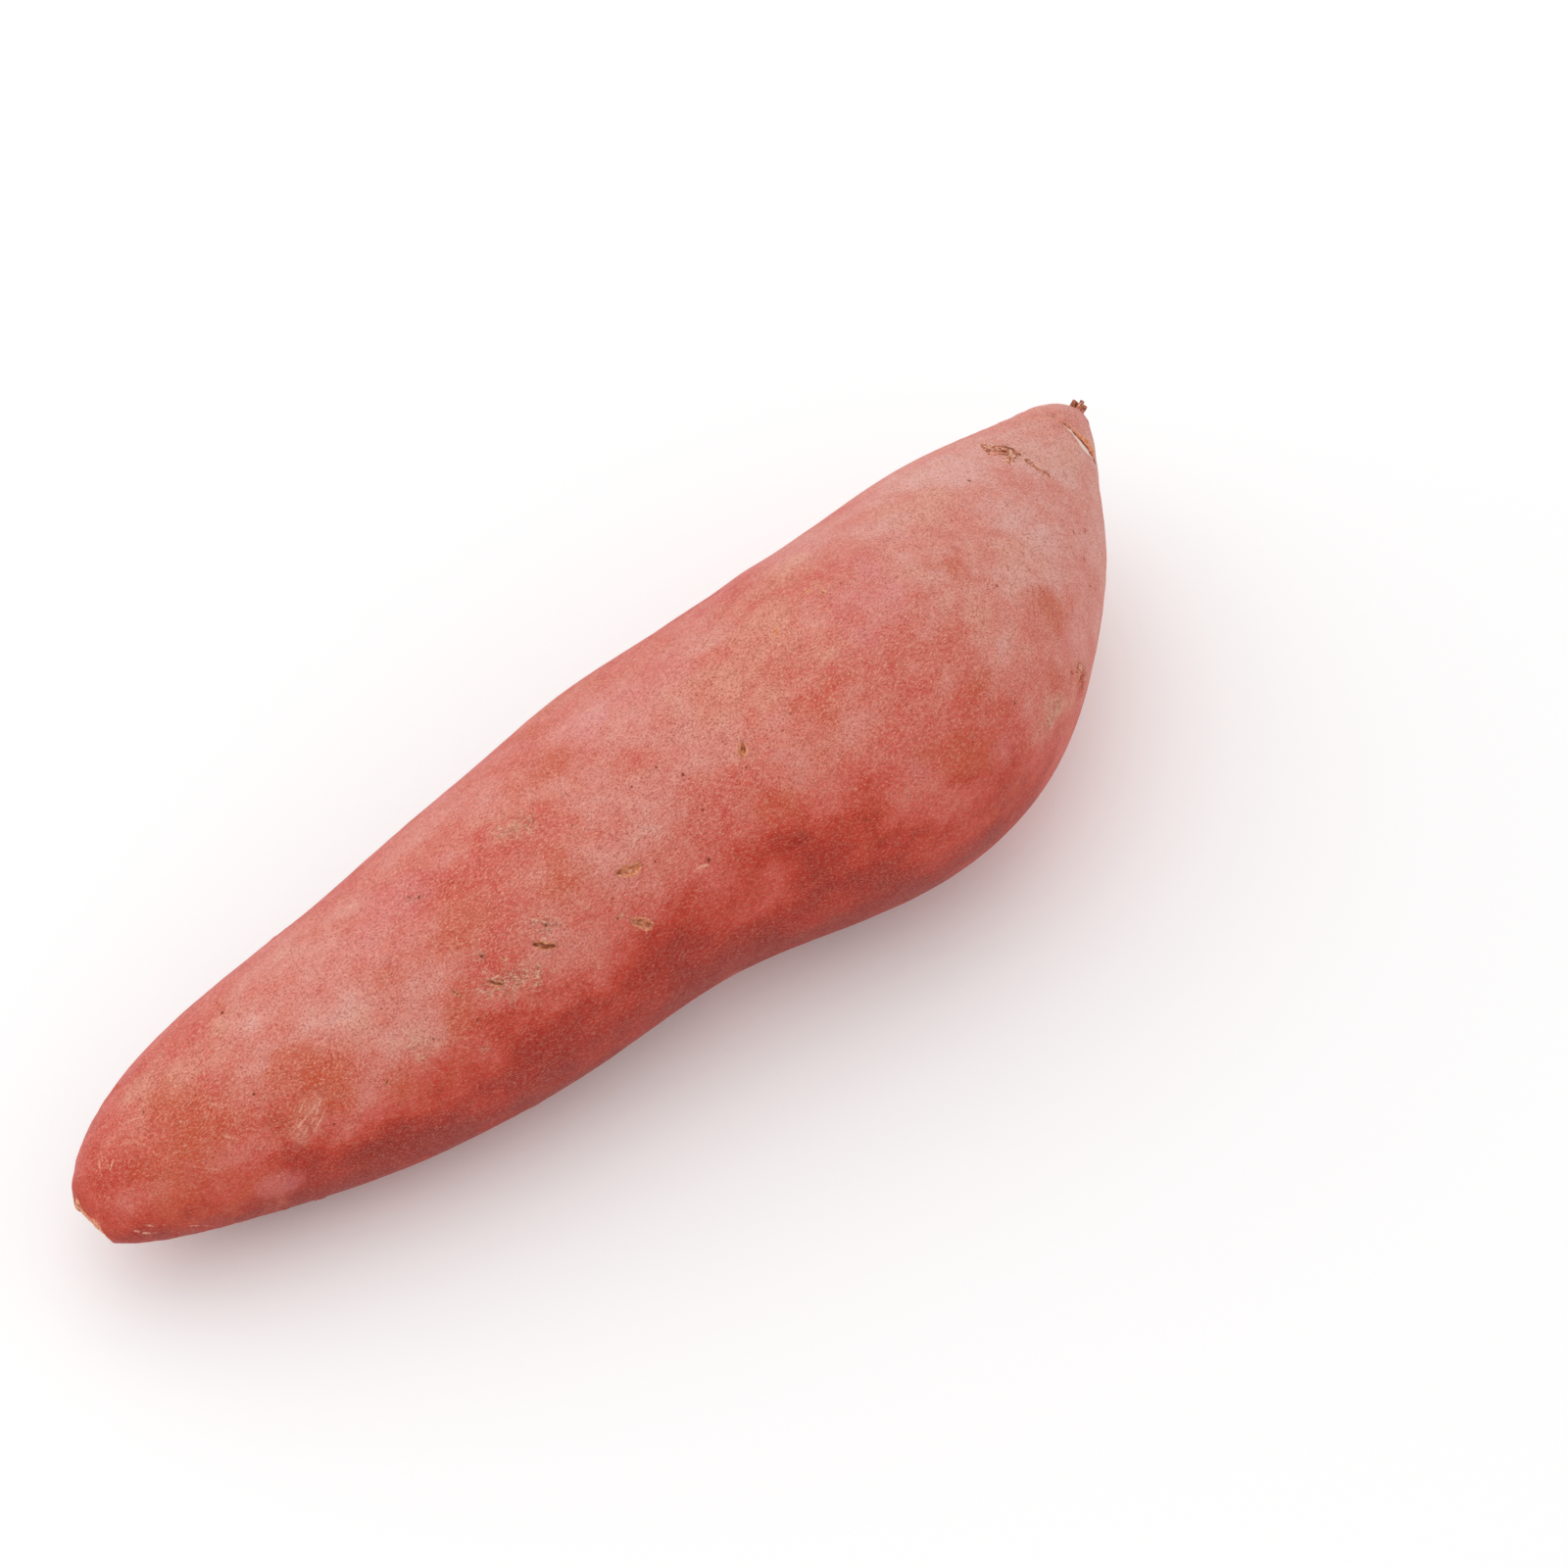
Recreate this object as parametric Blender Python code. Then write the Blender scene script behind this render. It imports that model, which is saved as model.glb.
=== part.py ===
"""A sweet potato lying on its side: one whole tuber, with the dried stub of the vine it grew on.

The tuber lies along X, its thin root end towards -X and its stem end towards +X. It bows towards -Y
and rests on Z = 0, and the middle of its outline is over the origin. Metres, +Z up.
"""

import math
from typing import NamedTuple

import bmesh
import bpy
import numpy as np
from mathutils import Matrix, Vector

MM = 0.001

# Driving dimensions. The skin is the tuber without the stub.
LENGTH = 232 * MM  # of the skin along X, root end to stem end
BELLY_WIDTH = 62 * MM  # across the skin where it is fattest
TAIL_WIDTH = 49.5 * MM  # across the long tail, between the belly and the root end
FLATNESS = 0.95  # height of a section for its width
TAIL_BOW = 10 * MM  # how far the tail and the belly swing out from the line between the ends
BELLY_BOW = 21 * MM
ROOT_HEIGHT = 18 * MM  # of each end above the floor
TIP_HEIGHT = 26.5 * MM
TIP_UPTURN = 1.2 * MM  # how much higher the very end of the stem end is than the sections before it
FLAT_DEPTH = 0.8 * MM  # how deep the flat spot underneath is pressed into the round of the belly
ARCH = 1.0 * MM  # how far the underside clears the floor between the belly's flat spot and the tail's
TIP_LIFT = 2.6 * MM  # and where the belly ends, on its way up to the stem end
ROOT_LIFT = 1.4 * MM  # and where the tail ends, on its way up to the root end
SCAR_DEPTH = 0.8 * MM  # how much of the root end is gone where the root broke off
SCAR_TURN = math.radians(4)  # how far the scar faces round from -X towards +Y, and down
SCAR_DIP = math.radians(28)
STUB_BASE = 3.4 * MM  # diameters of the dried stub
STUB_END = 2.6 * MM
STUB_LENGTH = 3.2 * MM  # what stands out of the skin
STUB_ROOTED = 2.4 * MM  # what is sunk in it
STUB_RISE = math.radians(17)  # how far the stub points up, and round towards +Y, from +X
STUB_TURN = math.radians(9)
LOBES = 3  # shallow lengthwise swellings round a section
LOBE_DEPTH = 0.012  # of the section's radius
LOBE_TWIST = 1.4  # turn of the lobes from one end to the other, in radians

# Fineness of the faceted surface.
SIDES = 40
RINGS = 62
STUB_SIDES = 12

SKIN_COLOUR = (0.52, 0.13, 0.09, 1.0)
SKIN_ROUGHNESS = 0.6


class Section(NamedTuple):
    """A cross-section of the tuber, upright and square to its spine."""

    along: float  # its place, as a share of LENGTH from the root end
    width: float
    bow: float  # how far its middle lies towards -Y
    middle: float  # height of its middle above the floor


def resting(width):
    """The height of the middle of a section this wide, pressed into the floor."""
    return FLATNESS * width / 2 - FLAT_DEPTH


SECTIONS = (
    Section(0.00, 0.0, -0.10 * TAIL_BOW, ROOT_HEIGHT),
    Section(0.06, 0.51 * TAIL_WIDTH, -0.17 * TAIL_BOW, ROOT_HEIGHT),
    Section(0.14, 0.74 * TAIL_WIDTH, 0.0, resting(0.74 * TAIL_WIDTH) + ROOT_LIFT),
    Section(0.25, 0.92 * TAIL_WIDTH, 0.60 * TAIL_BOW, resting(0.92 * TAIL_WIDTH)),
    Section(0.37, TAIL_WIDTH, TAIL_BOW, resting(TAIL_WIDTH) + ARCH),
    Section(0.54, 0.90 * BELLY_WIDTH, 0.72 * BELLY_BOW, resting(0.90 * BELLY_WIDTH)),
    Section(0.64, BELLY_WIDTH, BELLY_BOW, resting(BELLY_WIDTH)),
    Section(0.72, 0.97 * BELLY_WIDTH, 0.93 * BELLY_BOW, resting(0.97 * BELLY_WIDTH)),
    Section(0.80, 0.84 * BELLY_WIDTH, 0.68 * BELLY_BOW, resting(0.84 * BELLY_WIDTH) + TIP_LIFT),
    Section(0.88, 0.61 * BELLY_WIDTH, 0.41 * BELLY_BOW, TIP_HEIGHT),
    Section(0.94, 0.38 * BELLY_WIDTH, 0.22 * BELLY_BOW, TIP_HEIGHT),
    Section(1.00, 0.0, 0.04 * BELLY_BOW, TIP_HEIGHT + TIP_UPTURN),
)


class Swelling(NamedTuple):
    """A low round swelling of the skin."""

    along: float  # its place, as a share of LENGTH
    turn: float  # and round the section, from +Y by way of +Z
    height: float
    reach: float  # how far from its middle it has sunk to about a third of its height


SWELLINGS = (
    Swelling(0.48, math.radians(35), 2.4 * MM, 30 * MM),
    Swelling(0.38, math.radians(215), 0.8 * MM, 22 * MM),
    Swelling(0.72, math.radians(215), 0.9 * MM, 22 * MM),
    Swelling(0.88, math.radians(195), 1.2 * MM, 16 * MM),
    Swelling(0.62, math.radians(110), 0.8 * MM, 24 * MM),
    Swelling(0.20, math.radians(120), 0.6 * MM, 18 * MM),
)


def clear_scene():
    for obj in list(bpy.data.objects):
        bpy.data.objects.remove(obj, do_unlink=True)


def make_collection(name):
    collection = bpy.data.collections.new(name)
    bpy.context.scene.collection.children.link(collection)
    return collection


def skin_material():
    material = bpy.data.materials.new("sweet_potato_skin")
    material.use_nodes = True
    shader = material.node_tree.nodes["Principled BSDF"]
    shader.inputs["Base Color"].default_value = SKIN_COLOUR
    shader.inputs["Roughness"].default_value = SKIN_ROUGHNESS
    shader.inputs["Metallic"].default_value = 0.0
    return material


def spline_slopes(places, values):
    """The slopes that make a cubic curve through the values bend most evenly (a natural spline)."""
    gaps = np.diff(places)
    grades = np.diff(values) / gaps
    count = len(places)
    system = np.zeros((count, count))
    system[0, :2] = 2, 1
    system[-1, -2:] = 1, 2
    right = np.zeros(count)
    right[0], right[-1] = 3 * grades[0], 3 * grades[-1]
    for i in range(1, count - 1):
        before, after = 1 / gaps[i - 1], 1 / gaps[i]
        system[i, i - 1 : i + 2] = before, 2 * (before + after), after
        right[i] = 3 * (before * grades[i - 1] + after * grades[i])
    return np.linalg.solve(system, right)


class SmoothCurve:
    """A smooth curve through one of the sections' values."""

    def __init__(self, values):
        self.places = np.array([section.along for section in SECTIONS])
        self.values = np.array(values)
        self.slopes = spline_slopes(self.places, self.values)

    def at(self, along):
        """Its value and its slope at a share of the length."""
        start = min(max(int(np.searchsorted(self.places, along)) - 1, 0), len(self.places) - 2)
        span = self.places[start + 1] - self.places[start]
        t = (along - self.places[start]) / span
        rise = self.values[start + 1] - self.values[start]
        leave = span * self.slopes[start]
        arrive = span * self.slopes[start + 1]
        value = self.values[start] + leave * t * (1 - t) ** 2 + rise * t**2 * (3 - 2 * t)
        slope = leave * (1 - t) * (1 - 3 * t) + 6 * rise * t * (1 - t) - arrive * t * (2 - 3 * t)
        return value - arrive * t**2 * (1 - t), slope / span


# A section's width squared runs smoothly to nothing at both ends, which makes them round.
WIDTH_SQUARED = SmoothCurve([section.width**2 for section in SECTIONS])
BOW = SmoothCurve([section.bow for section in SECTIONS])
MIDDLE = SmoothCurve([section.middle for section in SECTIONS])


def skin_radius(along, turn):
    """How far the skin lies from the spine, before a section is made lower than it is wide."""
    plain = math.sqrt(max(WIDTH_SQUARED.at(along)[0], 0.0)) / 2
    radius = plain * (1 + LOBE_DEPTH * math.cos(LOBES * turn + LOBE_TWIST * along))
    for swelling in SWELLINGS:
        round_by = math.remainder(turn - swelling.turn, math.tau) * plain
        away = math.hypot(LENGTH * (along - swelling.along), round_by)
        radius += swelling.height * math.exp(-((away / swelling.reach) ** 2))
    return radius


def skin_point(unit):
    """Where a point of a unit sphere, with its poles on X, lies on the skin."""
    along = (unit.x + 1) / 2
    turn = math.atan2(unit.z, unit.y)
    bow, bow_slope = BOW.at(along)
    heading = math.atan2(-bow_slope, LENGTH)
    radius = skin_radius(along, turn) if 0 < along < 1 else 0.0
    across = radius * math.cos(turn)
    rise = radius * FLATNESS * math.sin(turn)
    spine = Vector((LENGTH * along, -bow, MIDDLE.at(along)[0]))
    return spine + Vector((-across * math.sin(heading), across * math.cos(heading), rise))


def press_flat(mesh, outward, depth):
    """Moves what lies furthest outward back onto a plane, this deep below the furthest point."""
    plane = max(vert.co.dot(outward) for vert in mesh.verts) - depth
    for vert in mesh.verts:
        beyond = vert.co.dot(outward) - plane
        if beyond > 0:
            vert.co -= beyond * outward


def make_object(name, mesh, collection):
    """An object from a bmesh, which is freed, shaded smooth."""
    data = bpy.data.meshes.new(name)
    mesh.to_mesh(data)
    mesh.free()
    data.shade_smooth()
    obj = bpy.data.objects.new(name, data)
    collection.objects.link(obj)
    return obj


def make_tuber(collection):
    """The skin: a sphere drawn out along the sections, flat where it rests and where the root broke."""
    mesh = bmesh.new()
    bmesh.ops.create_uvsphere(mesh, u_segments=SIDES, v_segments=RINGS, radius=1.0)
    bmesh.ops.transform(mesh, matrix=Matrix.Rotation(math.pi / 2, 4, "Y"), verts=mesh.verts)
    for vert in mesh.verts:
        vert.co = skin_point(vert.co)
    press_flat(mesh, Vector((0.0, 0.0, -1.0)), FLAT_DEPTH)
    scar = Matrix.Rotation(-SCAR_TURN, 3, "Z") @ Matrix.Rotation(-SCAR_DIP, 3, "Y")
    press_flat(mesh, scar @ Vector((-1.0, 0.0, 0.0)), SCAR_DEPTH)
    tuber = make_object("sweet_potato", mesh, collection)
    tuber.data.materials.append(skin_material())
    return tuber


def make_stub(collection, tuber):
    """The solid that the tuber is joined with at its stem end: a short cone, partly sunk in it."""
    length = STUB_ROOTED + STUB_LENGTH
    mesh = bmesh.new()
    bmesh.ops.create_cone(
        mesh,
        cap_ends=True,
        segments=STUB_SIDES,
        radius1=STUB_BASE / 2,
        radius2=STUB_END / 2,
        depth=length,
        matrix=Matrix.Translation((0.0, 0.0, length / 2 - STUB_ROOTED)),
    )
    stub = make_object("stub_core", mesh, collection)
    tip = skin_point(Vector((1.0, 0.0, 0.0)))
    aim = Matrix.Rotation(STUB_TURN, 4, "Z") @ Matrix.Rotation(math.pi / 2 - STUB_RISE, 4, "Y")
    stub.matrix_local = Matrix.Translation(tip) @ aim
    stub.parent = tuber
    stub.hide_render = True
    stub.display_type = "WIRE"
    union = tuber.modifiers.new("stub", "BOOLEAN")
    union.operation = "UNION"
    union.solver = "EXACT"
    union.object = stub


def stand_on_origin(tuber):
    """Puts the middle of the outline over the origin and the lowest point on the floor."""
    bpy.context.view_layer.update()
    evaluated = tuber.evaluated_get(bpy.context.evaluated_depsgraph_get())
    corners = np.array([corner[:] for corner in evaluated.bound_box])
    low, high = corners.min(axis=0), corners.max(axis=0)
    tuber.location = (-(low[0] + high[0]) / 2, -(low[1] + high[1]) / 2, -low[2])


def main():
    clear_scene()
    tuber = make_tuber(make_collection("sweet potato"))
    make_stub(make_collection("joined shapes"), tuber)
    stand_on_origin(tuber)


main()
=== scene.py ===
"""How the sweet potato looks: its skin with every mark in it, and the dried fibres of its vine stub.

The skin is a smooth surface through points of the CAD solid. A place on it is given by `along`, the
share of the way over the skin from the root end's pole to the stem end's, and by `turn`, in degrees
round the tuber from +Y by way of +Z. Metres, +Z up.
"""

import math
import random
from typing import NamedTuple

import bmesh
import bpy
import numpy as np
from mathutils import Matrix, Vector, geometry, noise
from mathutils.bvhtree import BVHTree


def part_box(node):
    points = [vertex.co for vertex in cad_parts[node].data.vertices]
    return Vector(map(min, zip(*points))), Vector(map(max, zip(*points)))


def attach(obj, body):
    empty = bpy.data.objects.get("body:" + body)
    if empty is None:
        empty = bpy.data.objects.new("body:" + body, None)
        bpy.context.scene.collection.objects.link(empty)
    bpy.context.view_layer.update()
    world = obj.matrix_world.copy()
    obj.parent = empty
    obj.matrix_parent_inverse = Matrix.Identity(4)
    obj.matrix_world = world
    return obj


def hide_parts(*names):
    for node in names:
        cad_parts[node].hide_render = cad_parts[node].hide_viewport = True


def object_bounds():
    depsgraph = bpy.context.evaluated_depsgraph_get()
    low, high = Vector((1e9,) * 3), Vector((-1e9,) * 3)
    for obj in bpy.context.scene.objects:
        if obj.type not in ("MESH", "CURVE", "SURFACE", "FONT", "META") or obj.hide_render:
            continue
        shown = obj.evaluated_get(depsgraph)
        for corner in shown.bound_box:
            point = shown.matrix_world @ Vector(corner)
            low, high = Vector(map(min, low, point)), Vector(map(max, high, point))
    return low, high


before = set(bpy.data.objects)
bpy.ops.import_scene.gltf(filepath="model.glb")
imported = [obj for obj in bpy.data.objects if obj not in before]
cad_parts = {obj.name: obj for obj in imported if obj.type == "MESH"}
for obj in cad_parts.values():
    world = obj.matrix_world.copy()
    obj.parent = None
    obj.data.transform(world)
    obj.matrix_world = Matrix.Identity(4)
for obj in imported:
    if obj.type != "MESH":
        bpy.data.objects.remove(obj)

MM = 0.001
NODE = "sweet_potato"
UV_MAP = "OFBake"  # the name of the skin's own map, unrolled from the cage

# How the smooth skin is drawn.
CAGE_ROWS = 38  # of the cage, from pole to pole
CAGE_SIDES = 22
CAGE_LEVELS = 3  # of subdivision, to faces of about 1 mm
CAGE_FITS = 3  # times the cage is moved out, so that the smooth skin passes through its points
SPINE_STEPS = 30  # places where the spine is measured, each way from the middle
SPINE_CLEAR = 3 * MM  # how far from the ends its measuring stops
SPINE_ORDER = 8  # of the smooth curve through them
MIDDLE_TRIES = 3  # rounds of centring a point in its section
CAP_REACH = 12 * MM  # how far the spine stays short of each end, where the rays fan out
STUB_CLEAR = 2 * MM  # CAD faces that reach this close to the stem end belong to the stub

# The camera, which looks at the middle of the CAD box from above the tuber's bowed side.
AZIMUTH = math.radians(-46.8)
ELEVATION = math.radians(50)
LENS = 100  # mm, on Blender's 36 mm sensor
DISTANCE = 716 * MM
AIM_RIGHT = 14.8 * MM
AIM_UP = 5.1 * MM

# The light and the floor.
KEY_AWAY = (-0.6, 0.8, 0.7)  # metres from the tuber, along the camera's right, up and back
KEY_SIZE = 2.4
KEY_POWER = 10.0
WORLD_STRENGTH = 0.72
FLOOR_SIZE = 20
FLOOR_WHITE = (0.97, 0.97, 0.97, 1.0)
WHITE = (1.0, 1.0, 1.0, 1.0)
FLOOR_GLOW = 0.08  # which keeps the tuber's shadow pale


class Tuber:
    """The CAD solid without its stub, as a surface that rays meet from its spine."""

    def __init__(self):
        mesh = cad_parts[NODE].data
        self.low, self.high = (Vector(corner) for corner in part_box(NODE))
        points = [vert.co.copy() for vert in mesh.vertices]
        stub_from = self.high.x - STUB_CLEAR
        skin = [
            face.vertices[:]
            for face in mesh.polygons
            if max(points[index].x for index in face.vertices) < stub_from
        ]
        self.tree = BVHTree.FromPolygons(points, skin)
        self.start = self.low.x + CAP_REACH
        self.stop = stub_from - CAP_REACH
        self.cap = CAP_REACH * math.pi / 2
        self.way = self.stop - self.start + 2 * self.cap
        last = self.low.x + SPINE_CLEAR, stub_from - SPINE_CLEAR
        middles = np.array([middle[:] for end in last for middle in self.measured_spine(end)])
        self.side = np.polynomial.Polynomial.fit(middles[:, 0], middles[:, 1], SPINE_ORDER)
        self.rise = np.polynomial.Polynomial.fit(middles[:, 0], middles[:, 2], SPINE_ORDER)
        self.side_slope = self.side.deriv()
        self.rise_slope = self.rise.deriv()
        self.measure_stub(mesh, points, stub_from)
        self.scar = self.flat_end(mesh)

    def measure_stub(self, mesh, points, stub_from):
        """The CAD stub: the middle of its end, its axis, its radius there, and its length out of the skin."""
        end = [point for point in points if point.x > stub_from]
        self.stub_end = sum(end, Vector()) / len(end)
        self.stub_radius = max((point - self.stub_end).length for point in end)
        faces = [[points[index] for index in face.vertices] for face in mesh.polygons]
        ends = [face for face in faces if min(point.x for point in face) > stub_from]
        self.stub_axis = sum((geometry.normal(face) for face in ends), Vector()).normalized()
        stub = [point for face in faces if max(point.x for point in face) > stub_from for point in face]
        self.stub_length = max((self.stub_end - point).dot(self.stub_axis) for point in stub)

    def flat_end(self, mesh):
        """Middle and normal of the flat face where the root broke off: the widest near the root end."""
        flats = {}
        for face in mesh.polygons:
            if face.center.x < self.start:
                facing = tuple(round(part, 2) for part in face.normal)
                area, middle = flats.get(facing, (0.0, Vector()))
                flats[facing] = area + face.area, middle + face.area * face.center
        facing = max(flats, key=lambda key: flats[key][0])
        area, middle = flats[facing]
        return middle / area, Vector(facing).normalized()

    def measured_spine(self, end):
        """Middles of sections, from the tuber's middle to an end."""
        point = (self.low + self.high) / 2
        for x in np.linspace(point.x, end, SPINE_STEPS):
            point = self.middle_of(Vector((x, point.y, point.z)))
            yield point

    def middle_of(self, point):
        """The middle of the section square to X that holds this point."""
        for _ in range(MIDDLE_TRIES):
            for axis in (Vector((0.0, 1.0, 0.0)), Vector((0.0, 0.0, 1.0))):
                ahead = self.tree.ray_cast(point, axis)[0]
                behind = self.tree.ray_cast(point, -axis)[0]
                point = (ahead + behind) / 2
        return point

    def ray(self, along, turn):
        """Start, direction and lengthwise axis of the ray that leaves the spine for a place on the skin."""
        way = along * self.way - self.cap
        x = min(max(self.start + way, self.start), self.stop)
        beyond = way - (x - self.start)
        lean = beyond / self.cap * math.pi / 2
        start = Vector((x, self.side(x), self.rise(x)))
        lengthwise = Vector((1.0, self.side_slope(x), self.rise_slope(x))).normalized()
        across = Vector((0.0, 0.0, 1.0)).cross(lengthwise).normalized()
        up = lengthwise.cross(across)
        out = math.cos(turn) * across + math.sin(turn) * up
        return start, math.cos(lean) * out + math.sin(lean) * lengthwise, lengthwise

    def point(self, along, turn):
        """The place on the skin, or None where the stub stood."""
        start, direction, _ = self.ray(along, turn)
        return self.tree.ray_cast(start, direction)[0]

    def pole(self, along):
        """The end of the skin, as far out as its neighbours, whether or not the stub stood on it."""
        start, direction, _ = self.ray(along, 0.0)
        step = 1 / CAGE_ROWS if along < 0.5 else -1 / CAGE_ROWS
        ring = [self.point(along + step, math.tau * side / CAGE_SIDES) for side in range(CAGE_SIDES)]
        return start + direction * max((hit - start).length for hit in ring)


def make_cage(tuber):
    """A coarse grid of points of the CAD skin, from pole to pole, with a map of its own."""
    mesh = bmesh.new()
    bmesh.ops.create_uvsphere(mesh, u_segments=CAGE_SIDES, v_segments=CAGE_ROWS, radius=1.0)
    bmesh.ops.transform(mesh, matrix=Matrix.Rotation(math.pi / 2, 4, "Y"), verts=mesh.verts)
    places = {}
    for vert in mesh.verts:
        along = math.acos(min(max(-vert.co.x, -1.0), 1.0)) / math.pi
        turn = math.atan2(vert.co.z, vert.co.y) % math.tau
        is_pole = math.hypot(vert.co.y, vert.co.z) < 0.5 / CAGE_ROWS
        places[vert] = (along, None if is_pole else turn)
        vert.co = tuber.pole(round(along)) if is_pole else tuber.point(along, turn)
    map_cage(mesh, places)
    data = bpy.data.meshes.new("skin_cage")
    mesh.to_mesh(data)
    mesh.free()
    cage = bpy.data.objects.new("skin_cage", data)
    bpy.context.scene.collection.objects.link(cage)
    return cage


def map_cage(mesh, places):
    """Unrolls the cage: turn across the map, along up it. The seam is where the turn is 0."""
    layer = mesh.loops.layers.uv.new(UV_MAP)
    for face in mesh.faces:
        turns = [places[loop.vert][1] for loop in face.loops]
        known = [turn for turn in turns if turn is not None]
        crosses = max(known) - min(known) > math.pi
        known = [turn + math.tau * (crosses and turn < math.pi) for turn in known]
        middle = sum(known) / len(known)
        for loop, turn in zip(face.loops, turns):
            if turn is None:
                turn = middle
            elif crosses and turn < math.pi:
                turn += math.tau
            loop[layer].uv = (turn / math.tau, places[loop.vert][0])


def smooth_skin(tuber):
    """The skin before any mark is made in it: a fine mesh through the cage's points."""
    cage = make_cage(tuber)
    wanted = np.array([vert.co[:] for vert in cage.data.vertices])
    smooth = cage.modifiers.new("smooth", "SUBSURF")
    smooth.levels = smooth.render_levels = CAGE_LEVELS
    smooth.uv_smooth = "NONE"
    for _ in range(CAGE_FITS):
        now = evaluated_points(cage)[: len(wanted)]
        before = np.array([vert.co[:] for vert in cage.data.vertices])
        cage.data.vertices.foreach_set("co", (before + wanted - now).ravel())
        cage.data.update()
    bpy.context.view_layer.update()
    evaluated = cage.evaluated_get(bpy.context.evaluated_depsgraph_get())
    skin = bpy.data.meshes.new_from_object(evaluated)
    bpy.data.objects.remove(cage, do_unlink=True)
    return skin


def evaluated_points(obj):
    """An object's points as its modifiers leave them."""
    bpy.context.view_layer.update()
    evaluated = obj.evaluated_get(bpy.context.evaluated_depsgraph_get())
    mesh = evaluated.to_mesh()
    points = np.empty(len(mesh.vertices) * 3)
    mesh.vertices.foreach_get("co", points)
    evaluated.to_mesh_clear()
    return points.reshape(-1, 3)


class Place:
    """A place on the skin, with axes of its own: lengthwise turned by a lean, across, and outward."""

    def __init__(self, tuber, along, turn, lean=0.0):
        start, direction, lengthwise = tuber.ray(along, math.radians(turn))
        point, normal = tuber.tree.ray_cast(start, direction)[:2]
        lengthwise = (lengthwise - lengthwise.dot(normal) * normal).normalized()
        across = lengthwise.cross(normal)
        angle = math.radians(lean)
        self.point = np.array(point)
        self.u = np.array(math.cos(angle) * lengthwise + math.sin(angle) * across)
        self.v = np.array(math.cos(angle) * across - math.sin(angle) * lengthwise)


class Coat:
    """What the marks do to the skin: for each vertex, how far it stands out, and its colour masks."""

    def __init__(self, mesh, tuber):
        self.tuber = tuber
        self.points = vertex_values(mesh, "co")
        self.normals = vertex_values(mesh, "normal")
        self.height = np.zeros(len(self.points))
        self.masks = {name: np.zeros(len(self.points)) for name in MASKS}

    def around(self, place, reach):
        """The vertices within reach of a place, and how far along u and v they lie from it."""
        away = self.points - place.point
        near = np.nonzero((away**2).sum(axis=1) < reach**2)[0]
        return near, away[near] @ place.u, away[near] @ place.v

    def paint(self, mask, near, amount):
        """Brings a mask up to an amount, where it is lower."""
        values = self.masks[mask]
        values[near] = np.maximum(values[near], np.clip(amount, 0.0, 1.0))

    def apply(self, mesh):
        """Moves the skin's vertices, keeps them off the floor, and stores the masks on them."""
        moved = self.points + self.normals * self.height[:, None]
        moved[:, 2] = np.maximum(moved[:, 2], 0.0)
        mesh.vertices.foreach_set("co", moved.ravel())
        mesh.update()
        for name, values in self.masks.items():
            mesh.attributes.new(name, "FLOAT", "POINT").data.foreach_set("value", values)


def vertex_values(mesh, name):
    """One vector for each vertex, such as its place or its normal."""
    values = np.empty(len(mesh.vertices) * 3, np.float32)
    mesh.vertices.foreach_get(name, values)
    return values.reshape(-1, 3).astype(float)


def drift(points, size, seed, stretch=(1.0, 1.0, 1.0)):
    """Smooth noise, from about -1 to 1, with swells of about this size."""
    scaled = points / (size * np.array(stretch)) + seed
    return np.array([noise.noise(point) for point in scaled.tolist()])


def rise(value, low, high):
    """0 up to the low value, 1 from the high one, and smooth between them."""
    share = np.clip((value - low) / (high - low), 0.0, 1.0)
    return share * share * (3 - 2 * share)


def bell(distance, reach):
    """1 in the middle, and about a third at the reach."""
    return np.exp(-((distance / reach) ** 2))


# How high and deep the marks are.
LIP_RISE = 0.16  # shares of a slit's width
GROOVE_DEPTH = 0.34
PIT_RIM_RISE = 0.12  # shares of a pit's width
PIT_DEPTH = 0.4
SCAB_RISE = 0.2 * MM
CRACKLE_RISE = 0.09 * MM
SCRATCH_DEPTH = 0.05 * MM
FLAP_RISE = 0.75 * MM
CRACK_DEPTH = 0.4 * MM
SCAR_DEPTH = 0.4 * MM
SCAR_RIM_RISE = 0.22 * MM
SCAR_ROUGHNESS = 0.22 * MM
COLLAR_RISE = 0.35 * MM
PUCKER_RISE = 0.14 * MM


class Slit(NamedTuple):
    """A lens-shaped split of the skin with corky lips."""

    along: float
    turn: float
    lean: float  # degrees from lengthwise, towards a growing turn
    length: float  # mm, as are all sizes of marks
    width: float
    dark: float = 1.0  # how brown its bottom is
    levels = 2  # how many times the mesh is made finer for it

    def reach(self):
        return self.length / 2 + 0.5, self.width + 0.5

    def shape(self, coat):
        place = Place(coat.tuber, self.along, self.turn, self.lean)
        near, u, v = coat.around(place, (self.length / 2 + 1.5) * MM)
        points = coat.points[near]
        half = self.width / 2 * MM
        v = v + 0.4 * half * drift(points, 1.6 * MM, self.turn)
        share = np.clip(1 - (2 * u / (self.length * MM)) ** 2, 0.0, 1.0)
        open_half = half * share + 1e-6
        aside = np.abs(v) / open_half
        ends = np.clip(share * 2, 0.0, 1.0)
        groove = bell(aside, 0.62) * ends
        lips = bell(aside - 1.35, 0.45) * ends
        coat.height[near] += self.width * MM * (LIP_RISE * lips - GROOVE_DEPTH * groove)
        rough = drift(points, 0.7 * MM, 5 + self.turn)
        coat.paint("cork", near, ends * bell(aside, 1.2) * (1.2 + 0.5 * rough))
        coat.paint("cream", near, ends * bell(aside - 1.5, 0.35) * (0.35 + 0.7 * rough))
        coat.paint("brown", near, self.dark * ends * bell(aside - 0.3, 0.4) * (1.0 + 0.6 * rough))


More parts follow.
